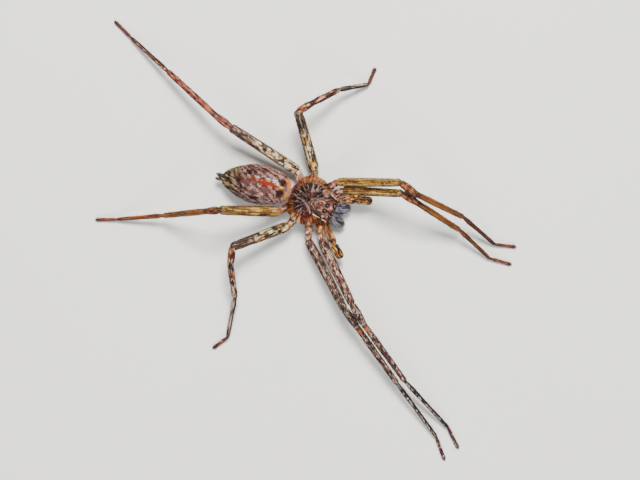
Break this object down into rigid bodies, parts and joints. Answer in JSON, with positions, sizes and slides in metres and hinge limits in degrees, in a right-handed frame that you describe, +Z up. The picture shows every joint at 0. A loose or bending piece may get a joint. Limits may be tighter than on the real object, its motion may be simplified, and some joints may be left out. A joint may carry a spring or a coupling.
{
  "type": "huntsman spider",
  "caption": "Still life-size huntsman spider standing with its legs spread, made for display.",
  "frame": {"origin": "on the floor, in the middle of the box that holds the whole spider", "axes": "+Z up, the head points along -Y, and the spider's left side is along +X"},
  "size_m": [0.0586, 0.0902, 0.0141],
  "materials": {
    "hairy_skin": "leathery skin under a close coat of short hair, brown with cream and dark markings",
    "eye": "black, wet gloss",
    "fang": "dark red-brown, polished horn"
  },
  "bodies": {
    "root": {"abdomen": "hairy_skin", "carapace": "hairy_skin", "chelicera_left": "hairy_skin", "chelicera_right": "hairy_skin", "eye_front_middle_left": "eye", "eye_front_middle_right": "eye", "eye_front_side_left": "eye", "eye_front_side_right": "eye", "eye_rear_middle_left": "eye", "eye_rear_middle_right": "eye", "eye_rear_side_left": "eye", "eye_rear_side_right": "eye", "fang_left": "fang", "fang_right": "fang", "leg_left_1_coxa": "hairy_skin", "leg_left_1_femur": "hairy_skin", "leg_left_1_metatarsus": "hairy_skin", "leg_left_1_tarsus": "hairy_skin", "leg_left_1_tibia": "hairy_skin", "leg_left_2_coxa": "hairy_skin", "leg_left_2_femur": "hairy_skin", "leg_left_2_metatarsus": "hairy_skin", "leg_left_2_tarsus": "hairy_skin", "leg_left_2_tibia": "hairy_skin", "leg_left_3_coxa": "hairy_skin", "leg_left_3_femur": "hairy_skin", "leg_left_3_metatarsus": "hairy_skin", "leg_left_3_tarsus": "hairy_skin", "leg_left_3_tibia": "hairy_skin", "leg_left_4_coxa": "hairy_skin", "leg_left_4_femur": "hairy_skin", "leg_left_4_metatarsus": "hairy_skin", "leg_left_4_tarsus": "hairy_skin", "leg_left_4_tibia": "hairy_skin", "leg_right_1_coxa": "hairy_skin", "leg_right_1_femur": "hairy_skin", "leg_right_1_metatarsus": "hairy_skin", "leg_right_1_tarsus": "hairy_skin", "leg_right_1_tibia": "hairy_skin", "leg_right_2_coxa": "hairy_skin", "leg_right_2_femur": "hairy_skin", "leg_right_2_metatarsus": "hairy_skin", "leg_right_2_tarsus": "hairy_skin", "leg_right_2_tibia": "hairy_skin", "leg_right_3_coxa": "hairy_skin", "leg_right_3_femur": "hairy_skin", "leg_right_3_metatarsus": "hairy_skin", "leg_right_3_tarsus": "hairy_skin", "leg_right_3_tibia": "hairy_skin", "leg_right_4_coxa": "hairy_skin", "leg_right_4_femur": "hairy_skin", "leg_right_4_metatarsus": "hairy_skin", "leg_right_4_tarsus": "hairy_skin", "leg_right_4_tibia": "hairy_skin", "palp_left_base": "hairy_skin", "palp_left_tip": "hairy_skin", "palp_right_base": "hairy_skin", "palp_right_tip": "hairy_skin", "spinnerets": "hairy_skin", "sternum": "hairy_skin"}
  },
  "joints": []
}
